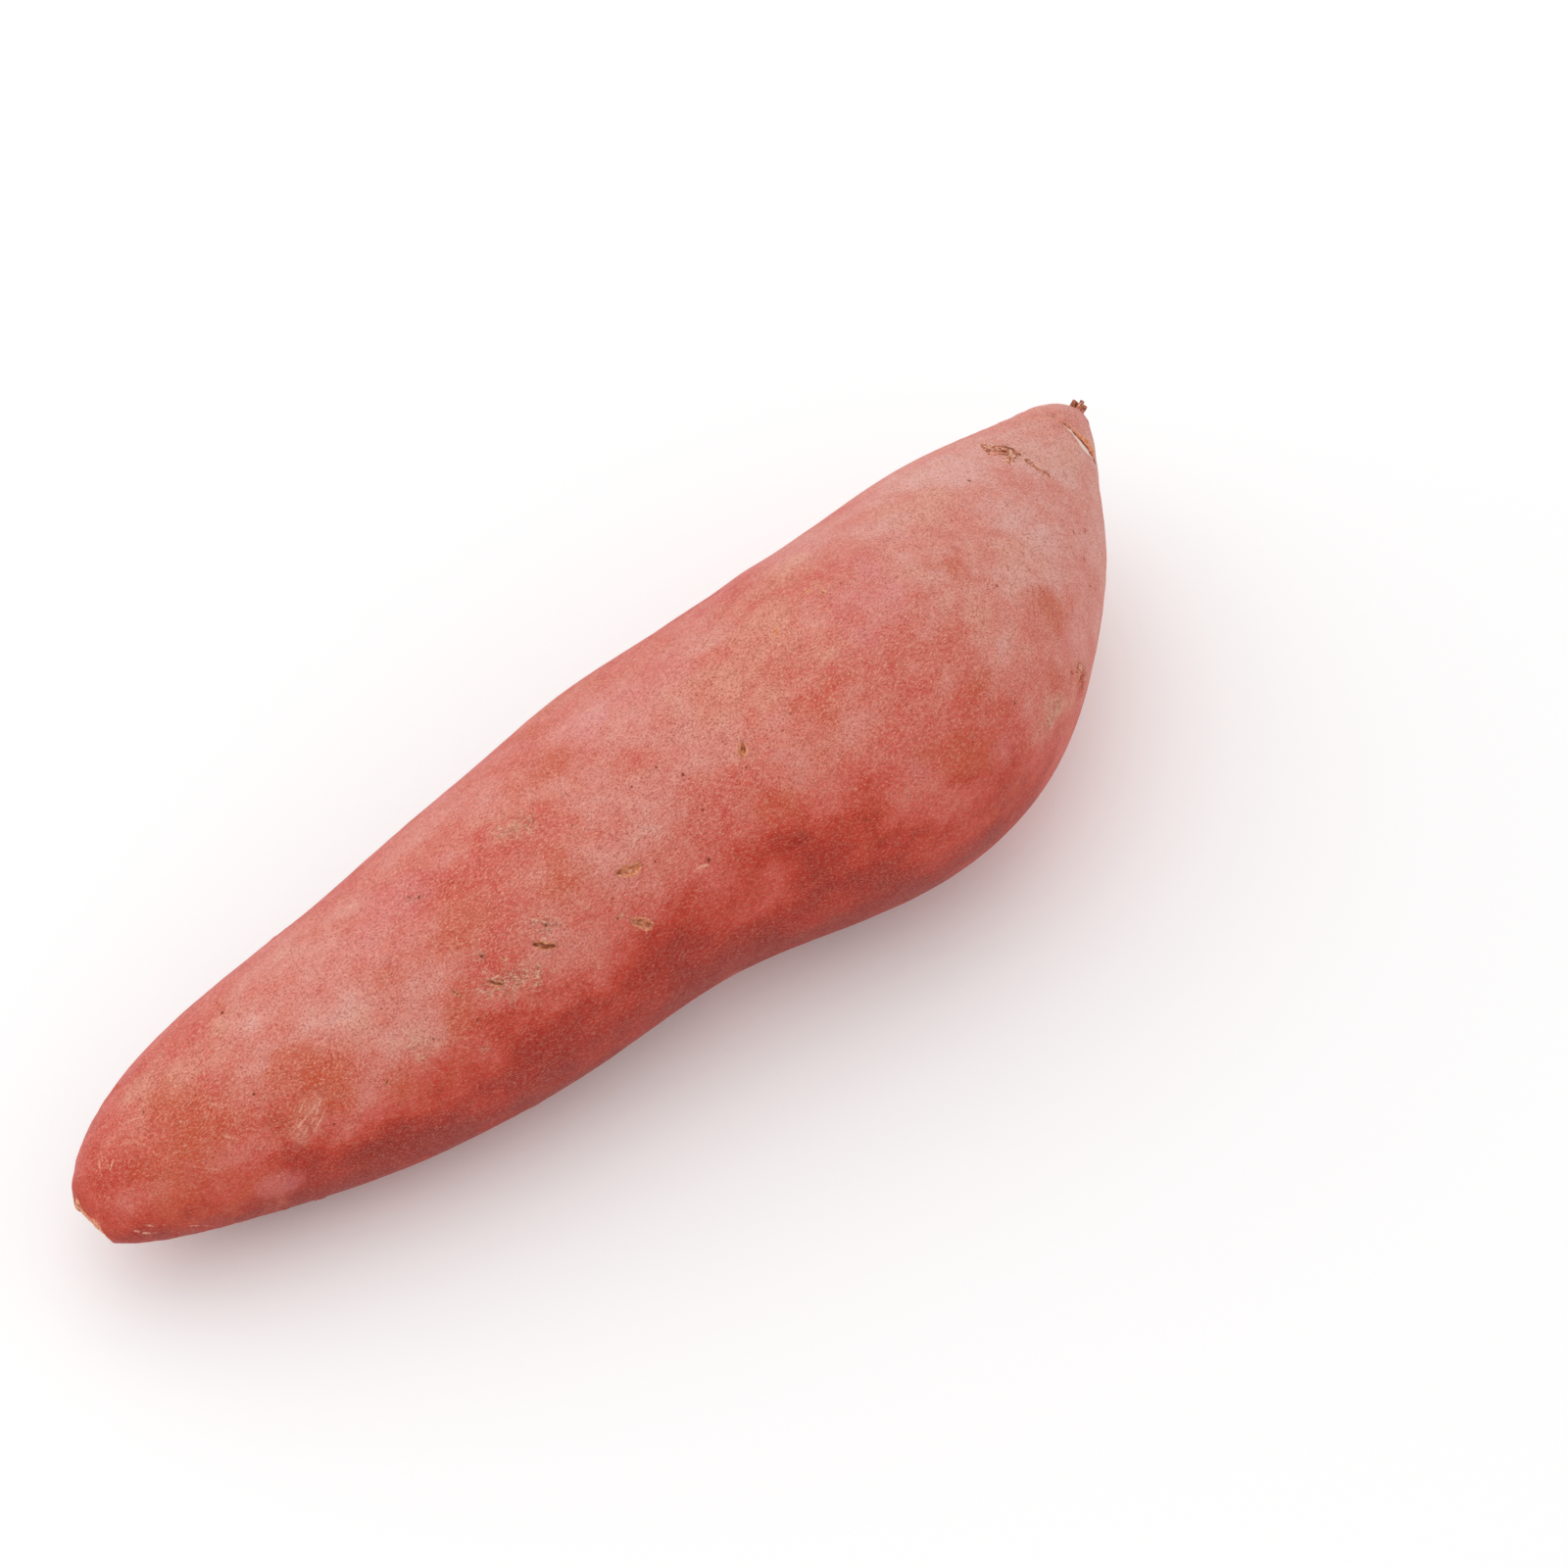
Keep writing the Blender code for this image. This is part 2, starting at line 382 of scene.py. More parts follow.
class Pit(NamedTuple):
    """A small round hole with a dark bottom, where a hair root grew."""

    along: float
    turn: float
    width: float
    halo: float = 0.0  # how pale the skin round it is
    lean = 90.0  # its longer side lies across the tuber
    levels = 2

    def reach(self):
        return 1.4 * self.width + 0.3, 1.4 * self.width + 0.3

    def shape(self, coat):
        place = Place(coat.tuber, self.along, self.turn, self.lean)
        near, u, v = coat.around(place, 4 * self.width * MM)
        wide = self.width / 2 * MM
        away = np.hypot(u, 1.25 * v) * (1 + 0.35 * drift(coat.points[near], 0.5 * MM, self.turn))
        rim = bell(away - 1.7 * wide, 0.7 * wide)
        coat.height[near] += self.width * MM * (PIT_RIM_RISE * rim - PIT_DEPTH * bell(away, wide))
        coat.paint("brown", near, 1.15 * bell(away, 1.05 * wide))
        coat.paint("cork", near, 0.55 * bell(away, 1.9 * wide))
        coat.paint("cream", near, self.halo * bell(away - 2.6 * wide, 1.2 * wide))


class Scab(NamedTuple):
    """A healed wound: curly ridges of cork."""

    along: float
    turn: float
    lean: float
    length: float
    width: float
    amount: float = 1.0
    levels = 2

    def reach(self):
        return 0.6 * self.length, 0.6 * self.width

    def shape(self, coat):
        place = Place(coat.tuber, self.along, self.turn, self.lean)
        near, u, v = coat.around(place, self.length * MM)
        points = coat.points[near]
        away = np.hypot(2 * u / self.length, 2 * v / self.width) / MM
        amount = self.amount * (1 - rise(away + 0.5 * drift(points, 2 * MM, self.turn), 0.6, 1.2))
        coat.paint("scab", near, amount)
        coat.paint("cork", near, 0.55 * amount)
        coat.height[near] += SCAB_RISE * amount * drift(points, 0.8 * MM, 6 + self.turn)


class Crackle(NamedTuple):
    """A patch where the skin is dry and finely cracked."""

    along: float
    turn: float
    lean: float
    length: float
    width: float
    amount: float = 1.0
    levels = 1

    def reach(self):
        return self.length / 2, 0.7 * self.width

    def shape(self, coat):
        place = Place(coat.tuber, self.along, self.turn, self.lean)
        near, u, v = coat.around(place, self.length * MM)
        points = coat.points[near]
        away = np.hypot(2 * u / self.length, 2 * v / self.width) / MM
        amount = self.amount * bell(away * (1 + 0.6 * drift(points, 2.5 * MM, self.turn)), 0.9)
        coat.paint("crackle", near, amount)
        coat.height[near] += CRACKLE_RISE * amount * drift(points, 1.3 * MM, 3 + self.turn)


class Scratch(NamedTuple):
    """A fine pale line where the skin was grazed."""

    along: float
    turn: float
    lean: float
    length: float
    width: float = 0.2
    levels = 1

    def reach(self):
        return self.length / 2, 1.0

    def shape(self, coat):
        place = Place(coat.tuber, self.along, self.turn, self.lean)
        near, u, v = coat.around(place, (self.length / 2 + 1) * MM)
        points = coat.points[near]
        v = v + 0.8 * MM * drift(points, 6 * MM, self.turn)
        share = np.clip(1 - (2 * u / (self.length * MM)) ** 2, 0.0, 1.0)
        line = share * bell(v, self.width * MM)
        coat.paint("scratch", near, line * (0.95 + 0.8 * drift(points, 1.0 * MM, 2 + self.turn)))
        coat.height[near] -= SCRATCH_DEPTH * line


class Crack(NamedTuple):
    """The split beside the stem end: pale flesh in it, and a raised flap on the stem's side."""

    along: float
    turn: float
    lean: float
    length: float
    width: float
    levels = 2

    def reach(self):
        return self.length / 2 + 0.8, self.width / 2 + 1.2

    def shape(self, coat):
        place = Place(coat.tuber, self.along, self.turn, self.lean)
        near, u, v = coat.around(place, (self.length / 2 + 4) * MM)
        points = coat.points[near]
        s = 2 * u / (self.length * MM)
        v = v + 0.9 * MM * (s**2 - 0.3) + 0.12 * MM * drift(points, 0.9 * MM, 1.0)
        ends = np.clip(1 - s**4, 0.0, 1.0)
        opening = ends * (0.3 + 0.7 * bell(s - 0.25, 0.45))
        half = self.width / 2 * MM * opening + 1e-6
        side = -v / half
        beyond = np.exp(-np.maximum(side - 1, 0.0) * half / (0.6 * MM))
        rough = drift(points, 0.8 * MM, 4.0)
        wall = rise(side, 0.1, 0.6) * beyond * (1 + 0.4 * rough)
        coat.height[near] += opening * (FLAP_RISE * wall - CRACK_DEPTH * bell(side + 0.4, 0.5))
        coat.paint("cream", near, ends * rise(side, -1.1, -0.8) * (1 - rise(side, 0.0, 0.25)))
        coat.paint("cork", near, ends * rise(side, 0.1, 0.4) * beyond * (1.1 + 0.8 * rough))
        edges = sum(bell((side - edge) * half, 0.16 * MM) for edge in (-1.0, 0.15, 1.1))
        lower_end = bell(s - 0.9, 0.16) * bell(v, 0.6 * MM)
        coat.paint("brown", near, np.maximum(ends * edges * (0.75 + rough), lower_end))
        coat.paint("warm", near, 0.6 * np.exp(-np.abs(v) / (3 * MM)) * ends)


class Patch(NamedTuple):
    """A soft patch of another tint."""

    mask: str
    along: float
    turn: float
    reach_along: float
    reach_across: float
    amount: float = 1.0

    def shape(self, coat):
        place = Place(coat.tuber, self.along, self.turn)
        widest = max(self.reach_along, self.reach_across) * MM
        near, u, v = coat.around(place, 2.5 * widest)
        points = coat.points[near]
        away = np.hypot(u / self.reach_along, v / self.reach_across) / MM
        ragged = 1 + 0.5 * drift(points, 7 * MM, self.turn) + 0.3 * drift(points, 3 * MM, self.turn)
        coat.paint(self.mask, near, self.amount * bell(away * ragged, 1.0))


MASKS = ("warm", "dusty", "lilac_and_sheen", "pale", "deep", "cork", "brown", "cream", "crackle", "scab", "scratch")

CRACK = Crack(0.929, 121, 101, 10.5, 2.8)

SLITS = (
    Slit(0.421, 129, 18, 5.4, 2.0, 0.55),
    Slit(0.409, 148, 46, 5.2, 2.0, 0.65),
    Slit(0.345, 133, 41, 4.8, 1.4),
    Slit(0.309, 134, 50, 2.8, 1.0, 0.8),
    Slit(0.321, 128, 30, 1.6, 0.6, 0.5),
    Slit(0.287, 128, 67, 2.2, 0.6),
    Slit(0.229, 145, -33, 1.4, 0.5),
    Slit(0.535, 115, 130, 3.2, 1.5, 0.6),
    Slit(0.595, 85, 116, 4.3, 0.6, 0.1),
    Slit(0.681, 151, -40, 1.8, 0.5),
    Slit(0.651, 149, -50, 1.3, 0.4),
    Slit(0.409, 103, 112, 1.5, 0.4),
    Slit(0.627, 79, 20, 1.7, 0.7, 0.5),
    Slit(0.633, 83, 80, 1.5, 0.8, 0.7),
    Slit(0.931, 87, 52, 1.8, 0.4, 0.3),
    Slit(0.845, 89, 159, 4.0, 0.5, 0.7),
)

PITS = (
    Pit(0.481, 103, 0.6),
    Pit(0.493, 111, 0.7),
    Pit(0.459, 104, 0.5),
    Pit(0.491, 126, 0.6, 0.3),
    Pit(0.441, 132, 0.5),
    Pit(0.477, 143, 0.9),
    Pit(0.353, 127, 0.6),
    Pit(0.395, 141, 0.5),
    Pit(0.311, 122, 0.7),
    Pit(0.285, 154, 0.4),
    Pit(0.303, 114, 0.4),
    Pit(0.325, 119, 0.4),
    Pit(0.307, 85, 0.6),
    Pit(0.303, 82, 0.5),
    Pit(0.263, 139, 0.5),
    Pit(0.289, 142, 0.6),
    Pit(0.089, 84, 0.5),
    Pit(0.099, 71, 0.4),
    Pit(0.155, 119, 0.6),
    Pit(0.171, 55, 0.5),
    Pit(0.169, 66, 0.8),
    Pit(0.191, 152, 0.5),
    Pit(0.227, 171, 0.5),
    Pit(0.217, 176, 0.6),
    Pit(0.173, 196, 0.4),
    Pit(0.645, 84, 0.5),
    Pit(0.717, 118, 0.6),
    Pit(0.733, 128, 0.5),
    Pit(0.801, 139, 0.5),
    Pit(0.825, 139, 0.5),
    Pit(0.809, 147, 0.6),
    Pit(0.799, 157, 0.8),
    Pit(0.805, 162, 0.5),
    Pit(0.531, 121, 0.5),
    Pit(0.571, 113, 0.5),
    Pit(0.601, 117, 0.4),
    Pit(0.581, 156, 0.5),
    Pit(0.583, 163, 0.4),
    Pit(0.733, 164, 0.8),
    Pit(0.744, 173, 2.4),
    Pit(0.857, 82, 1.2),
    Pit(0.795, 82, 0.9),
    Pit(0.819, 135, 0.6),
    Pit(0.837, 142, 0.6),
)

SCABS = (
    Scab(0.856, 79, 75, 8.0, 5.2),
    Scab(0.844, 88, 10, 4.0, 2.4, 0.7),
    Scab(0.856, 103, 105, 6.5, 2.6, 0.6),
    Scab(0.742, 171, 80, 6.0, 3.4),
    Scab(0.837, 142, 20, 2.4, 1.6, 0.5),
)

CRACKLES = (
    Crackle(0.379, 89, 20, 11, 6, 0.9),
    Crackle(0.317, 136, 28, 16, 6),
    Crackle(0.253, 137, 30, 9, 5, 0.8),
    Crackle(0.353, 127, 30, 8, 5, 0.9),
    Crackle(0.707, 166, 14, 12, 6),
    Crackle(0.752, 176, 60, 8, 4),
    Crackle(0.311, 122, 40, 4, 3),
    Crackle(0.395, 141, 20, 5, 3, 0.7),
    Crackle(0.307, 85, 0, 5, 3, 0.7),
    Crackle(0.535, 115, 90, 6, 4, 0.6),
    Crackle(0.857, 86, 90, 13, 8, 0.8),
    Crackle(0.935, 75, 90, 4, 2),
    Crackle(0.889, 110, 70, 14, 12, 0.5),
    Crackle(0.561, 93, 0, 18, 9, 0.35),
    Crackle(0.285, 154, 0, 4, 3, 0.6),
)

SCRATCHES = (
    Scratch(0.179, 142, 148, 8.5),
    Scratch(0.185, 147, 140, 7.0),
    Scratch(0.172, 149, 150, 6.0),
    Scratch(0.180, 145, 144, 8.0),
    Scratch(0.176, 139, 146, 6.5),
    Scratch(0.188, 141, 138, 5.5),
    Scratch(0.169, 145, 150, 5.0),
    Scratch(0.049, 78, 125, 5.0),
    Scratch(0.043, 80, 129, 6.0),
    Scratch(0.047, 86, 120, 5.0),
    Scratch(0.052, 92, 150, 3.5),
    Scratch(0.045, 181, 23, 6.4, 0.3),
    Scratch(0.051, 176, 30, 4.4, 0.25),
    Scratch(0.581, 184, 60, 3.0),
    Scratch(0.100, 140, 40, 9.0),
    Scratch(0.125, 133, 35, 7.0),
    Scratch(0.471, 143, 20, 3.2, 0.5),
)

PATCHES = (
    Patch("warm", 0.427, 74, 7, 6, 0.7),
    Patch("warm", 0.383, 116, 7, 6, 0.8),
    Patch("warm", 0.317, 103, 9, 6, 0.7),
    Patch("warm", 0.277, 136, 6, 6, 0.6),
    Patch("warm", 0.191, 123, 8, 7, 1.0),
    Patch("warm", 0.105, 114, 11, 9, 1.0),
    Patch("warm", 0.079, 134, 10, 8, 0.7),
    Patch("warm", 0.119, 179, 9, 6, 0.7),
    Patch("warm", 0.175, 58, 5, 4, 0.6),
    Patch("warm", 0.253, 107, 7, 5, 0.5),
    Patch("warm", 0.235, 155, 8, 6, 0.6),
    Patch("warm", 0.737, 142, 4, 5, 1.0),
    Patch("warm", 0.703, 100, 7, 6, 0.5),
    Patch("warm", 0.583, 120, 9, 7, 0.6),
    Patch("warm", 0.719, 160, 6, 4, 0.6),
    Patch("warm", 0.663, 183, 7, 5, 0.7),
    Patch("warm", 0.539, 137, 8, 6, 0.6),
    Patch("warm", 0.591, 155, 8, 6, 0.5),
    Patch("warm", 0.645, 150, 10, 8, 0.8),
    Patch("dusty", 0.107, 83, 9, 6, 1.0),
    Patch("dusty", 0.165, 72, 4, 3, 0.8),
    Patch("dusty", 0.173, 144, 7, 5, 0.8),
    Patch("dusty", 0.233, 117, 5, 4, 0.6),
    Patch("dusty", 0.609, 62, 14, 6, 0.9),
    Patch("dusty", 0.561, 93, 14, 9, 1.0),
    Patch("dusty", 0.595, 78, 12, 8, 0.9),
    Patch("dusty", 0.690, 104, 12, 8, 0.5),
    Patch("dusty", 0.709, 168, 8, 5, 0.9),
    Patch("dusty", 0.689, 122, 8, 7, 0.6),
    Patch("dusty", 0.745, 124, 10, 8, 0.7),
    Patch("dusty", 0.889, 103, 13, 16, 0.6),
    Patch("dusty", 0.741, 77, 12, 8, 0.8),
    Patch("dusty", 0.377, 87, 6, 5, 0.5),
    Patch("dusty", 0.321, 138, 9, 4, 0.5),
    Patch("dusty", 0.255, 137, 7, 5, 0.4),
    Patch("lilac_and_sheen", 0.619, 148, 5, 5, 0.7),
    Patch("lilac_and_sheen", 0.667, 160, 5, 5, 0.6),
    Patch("lilac_and_sheen", 0.419, 116, 7, 4, 0.5),
    Patch("lilac_and_sheen", 0.463, 67, 14, 8, 0.8),
    Patch("lilac_and_sheen", 0.139, 175, 5, 4, 0.9),
    Patch("lilac_and_sheen", 0.737, 153, 7, 4, 0.7),
    Patch("lilac_and_sheen", 0.651, 92, 12, 10, 0.9),
    Patch("lilac_and_sheen", 0.513, 71, 12, 8, 0.7),
    Patch("lilac_and_sheen", 0.285, 86, 16, 8, 0.8),
    Patch("lilac_and_sheen", 0.481, 124, 7, 6, 0.5),
)


SCATTER_SEED = 11
SCATTERED_PITS = 42
SCATTERED_SLITS = 14
SCATTERED_CRACKLES = 9
SCATTERED_SCRATCHES = 14
SCATTERED_PATCHES = 8  # of each tint


def scattered_marks():
    """Marks on the side that is turned away and underneath, of the same kinds as on the near side."""
    rng = random.Random(SCATTER_SEED)
    marks = []
    for _ in range(SCATTERED_PITS):
        marks.append(Pit(rng.uniform(0.06, 0.92), rng.uniform(200, 400), rng.uniform(0.4, 0.9)))
    for _ in range(SCATTERED_SLITS):
        lean = rng.choice((rng.uniform(10, 60), rng.uniform(80, 130)))
        length = rng.uniform(1.5, 4.5)
        marks.append(Slit(rng.uniform(0.1, 0.9), rng.uniform(215, 390), lean, length, rng.uniform(0.4, 1.2)))
    for _ in range(SCATTERED_CRACKLES):
        length = rng.uniform(5, 13)
        place = rng.uniform(0.08, 0.9), rng.uniform(220, 390), rng.uniform(0, 60)
        marks.append(Crackle(*place, length, 0.5 * length, rng.uniform(0.5, 1.0)))
    for _ in range(SCATTERED_SCRATCHES):
        place = rng.uniform(0.05, 0.95), rng.uniform(0, 360), rng.uniform(-30, 60)
        marks.append(Scratch(*place, rng.uniform(3, 9)))
    for mask in ("warm", "dusty", "lilac_and_sheen"):
        for _ in range(SCATTERED_PATCHES):
            place = rng.uniform(0.08, 0.92), rng.uniform(220, 400)
            marks.append(Patch(mask, *place, rng.uniform(6, 13), rng.uniform(4, 8), rng.uniform(0.5, 1.0)))
    return marks


SHOULDER = 0.955, 55  # along and turn of a low swelling near the stem end
SHOULDER_HEIGHT = 0.7 * MM
SHOULDER_REACH = 9 * MM
ROOT_TINGE = 38 * MM  # how far the redder skin of the root end reaches
STEM_TINGE = 110 * MM  # and the paler skin of the stem end
SHADE_FROM = 0.93  # the upward part of the skin's normal below which shade is painted on it as darker red
SHADE_OVER = 0.75  # how much less makes it wholly so
SHADE_DARKEST_X = -15 * MM  # where along X the shade painted on the sides is darkest
SHADE_DARKEST_REACH = 50 * MM
ROOT_WRINKLES = 22 * MM  # how far from each end the wrinkles reach
STEM_WRINKLES = 32 * MM
SCAR_WIDTH = 7.6 * MM
COLLAR_WIDTH = 4.2 * MM  # round the stub
PUCKERS = 9
WRINKLE_RISE = 0.16 * MM
SWELLS = (  # height and size in mm, seed, and stretch
    (0.35, 22, 31.0, (1.0, 1.0, 1.0)),
    (0.16, 8, 17.0, (2.5, 1.0, 1.0)),
    (0.05, 3, 7.0, (1.6, 1.0, 1.0)),
)


def on_mark(points, tuber, mark):
    """Which points lie in the ellipse that a mark reaches over."""
    place = Place(tuber, mark.along, mark.turn, mark.lean)
    lengthwise, across = (reach * MM for reach in mark.reach())
    away = points - place.point
    on_this_side = (away**2).sum(axis=1) < 2 * max(lengthwise, across) ** 2
    return on_this_side & ((away @ place.u / lengthwise) ** 2 + (away @ place.v / across) ** 2 < 1)


def refine(mesh, tuber, marks):
    """Splits the faces on each mark, as many times as the mark asks for, and once at both ends."""
    ends = (tuber.scar[0], 0.7 * SCAR_WIDTH), (tuber.pole(1.0), 1.5 * COLLAR_WIDTH)
    work = bmesh.new()
    work.from_mesh(mesh)
    for level in range(max(mark.levels for mark in marks)):
        centres = np.array([face.calc_center_median()[:] for face in work.faces])
        chosen = np.zeros(len(centres), bool)
        for mark in marks:
            if mark.levels > level:
                chosen |= on_mark(centres, tuber, mark)
        if level == 0:
            for middle, reach in ends:
                chosen |= ((centres - np.array(middle)) ** 2).sum(axis=1) < reach**2
        for face, pick in zip(work.faces, chosen.tolist()):
            face.tag = pick
        edges = [edge for edge in work.edges if any(face.tag for face in edge.link_faces)]
        bmesh.ops.subdivide_edges(work, edges=edges, cuts=1, use_grid_fill=True)
    work.to_mesh(mesh)
    work.free()


def shape_root_scar(coat):
    """The scar where the root broke off: a sunken corky disc with a ragged rim, on the CAD's flat end."""
    middle, facing = coat.tuber.scar
    away = coat.points - np.array(middle)
    near = np.nonzero((away**2).sum(axis=1) < SCAR_WIDTH**2)[0]
    points = coat.points[near]
    outward = (away[near] @ np.array(facing))[:, None] * np.array(facing)
    ragged = 1 + 0.22 * drift(points, 2.4 * MM, 8.0)
    wall = np.linalg.norm(away[near] - outward, axis=1) * ragged - SCAR_WIDTH / 2
    inside = 1 / (1 + np.exp(wall / (0.18 * MM)))
    rim = bell(wall - 0.25 * MM, 0.4 * MM)
    rough = drift(points, 1.1 * MM, 2.0)
    coat.height[near] += SCAR_RIM_RISE * rim - inside * (SCAR_DEPTH + SCAR_ROUGHNESS * rough)
    coat.paint("cork", near, inside * (0.9 + 0.4 * rough) + 0.6 * rim)
    edge = bell(wall + 0.3 * MM, 0.3 * MM) * (0.5 + 0.7 * rough)
    coat.paint("brown", near, edge + 0.45 * inside * (rough > 0.15))


def shape_collar(coat):
    """The skin puckers into a low collar round the stub."""
    away = coat.points - np.array(coat.tuber.pole(1.0))
    near = np.nonzero((away**2).sum(axis=1) < (3 * COLLAR_WIDTH) ** 2)[0]
    distance = np.linalg.norm(away[near], axis=1)
    round_it = np.arctan2(away[near, 2], away[near, 1])
    pucker = np.cos(PUCKERS * round_it + 2 * drift(coat.points[near], 4 * MM, 1.0))
    coat.height[near] += COLLAR_RISE * bell(distance - COLLAR_WIDTH / 2, 0.8 * MM)
    coat.height[near] += PUCKER_RISE * pucker * bell(distance - COLLAR_WIDTH, 1.6 * MM)
    coat.paint("lilac_and_sheen", near, 0.9 * bell(distance, 1.4 * COLLAR_WIDTH))


def shape_everywhere(coat):
    """The skin's own unevenness: low swells, faint lengthwise furrows, and wrinkles near the ends."""
    points = coat.points
    for height, size, seed, stretch in SWELLS:
        coat.height += height * MM * drift(points, size * MM, seed, stretch)
    low, high = coat.tuber.low.x, coat.tuber.high.x
    ends = bell(points[:, 0] - low, ROOT_WRINKLES) + bell(high - points[:, 0], STEM_WRINKLES)
    coat.height += WRINKLE_RISE * ends * drift(points, 1.7 * MM, 3.0, stretch=(1.0, 3.0, 3.0))
    shoulder = Place(coat.tuber, *SHOULDER)
    coat.height += SHOULDER_HEIGHT * bell(np.linalg.norm(points - shoulder.point, axis=1), SHOULDER_REACH)


def tint_everywhere(coat):
    """Redder skin at the root end; shade painted as darker red where the skin turns down, less at the stem
    end and most near the middle of its length; a painted sheen of mauve pink on the upper skin that faces +Y;
    and paler skin at the stem end.
    """
    points = coat.points
    root_end = 1 - rise(points[:, 0] - coat.tuber.low.x, 0.0, ROOT_TINGE)
    stem_end = rise(points[:, 0] - coat.tuber.high.x, -STEM_TINGE, 0.0)
    # Painted shade: skin that turns down is made darker red, less at the stem end and most near the middle of
    # the length.
    turned_down = np.clip((SHADE_FROM - coat.normals[:, 2]) / SHADE_OVER, 0.0, 1.5) * (1 - 0.7 * stem_end)
    painted_shade = turned_down * (1 + 0.3 * bell(points[:, 0] - SHADE_DARKEST_X, SHADE_DARKEST_REACH))
    deep = painted_shade + 0.45 * root_end * (1 - np.minimum(turned_down, 1.0)) + 0.2 * drift(points, 16 * MM, 5.0)
    coat.masks["deep"] += np.clip(deep, 0.0, 1.8)
    # Painted sheen: the upper skin that faces +Y is tinted mauve pink, as a soft reflection at its rim would
    # tint it.
    faces_back, faces_up = rise(coat.normals[:, 1], 0.0, 0.9), rise(coat.normals[:, 2], -0.1, 0.4)
    coat.masks["lilac_and_sheen"] += 0.6 * faces_back * faces_up
    coat.masks["pale"] += stem_end
    coat.masks["dusty"] += 0.25 * stem_end


def make_skin(tuber):
    """The skin: the smooth surface, split finely and shaped where its marks are, with its tints."""
    marks = [*SLITS, *PITS, *SCABS, *CRACKLES, *SCRATCHES, *PATCHES, CRACK, *scattered_marks()]
    mesh = smooth_skin(tuber)
    mesh.name = "skin"
    refine(mesh, tuber, [mark for mark in marks if not isinstance(mark, Patch)])
    coat = Coat(mesh, tuber)
    shape_everywhere(coat)
    tint_everywhere(coat)
    shape_root_scar(coat)
    shape_collar(coat)
    for mark in marks:
        mark.shape(coat)
    coat.apply(mesh)
    mesh.shade_smooth()
    mesh.materials.clear()
    mesh.materials.append(skin_material())
    skin = bpy.data.objects.new("skin", mesh)
    bpy.context.scene.collection.objects.link(skin)
    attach(skin, "root")
    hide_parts(NODE)


def paint(red, green, blue):
    """A colour as a screen shows it, 0 to 255, in the linear numbers that a shader takes."""
    parts = [part / 255 for part in (red, green, blue)]
    linear = [part / 12.92 if part <= 0.04045 else ((part + 0.055) / 1.055) ** 2.4 for part in parts]
    return (*linear, 1.0)


# From the darkest red, reached where shade is painted on the skin that turns down and at the redder root end,
# to the palest pink.
TONES = (
    (0.10, paint(146, 22, 10)),
    (0.26, paint(176, 36, 20)),
    (0.38, paint(200, 60, 42)),
    (0.50, paint(216, 94, 82)),
    (0.62, paint(222, 122, 108)),
    (0.76, paint(229, 150, 138)),
    (0.90, paint(234, 178, 170)),
)
WARM = paint(206, 84, 48)
DUSTY = paint(230, 160, 136)
# The colour of real mauve pink patches and of a painted sheen.
LILAC_AND_SHEEN = paint(230, 140, 142)
OCHRE = paint(218, 124, 76)
TAN = paint(246, 190, 160)
UMBER = paint(186, 96, 62)
BROWN = paint(126, 52, 28)
CREAM = paint(246, 220, 206)
FIBRE = paint(138, 66, 40)
FIBRE_WARM = paint(206, 122, 88)
FIBRE_PALE = paint(240, 184, 156)
FIBRE_DARK = paint(96, 44, 28)
SHEEN_TINT = (1.0, 0.85, 0.95, 1.0)
GRAIN_DARK = paint(164, 62, 42)
GRAIN_PALE = paint(242, 178, 152)


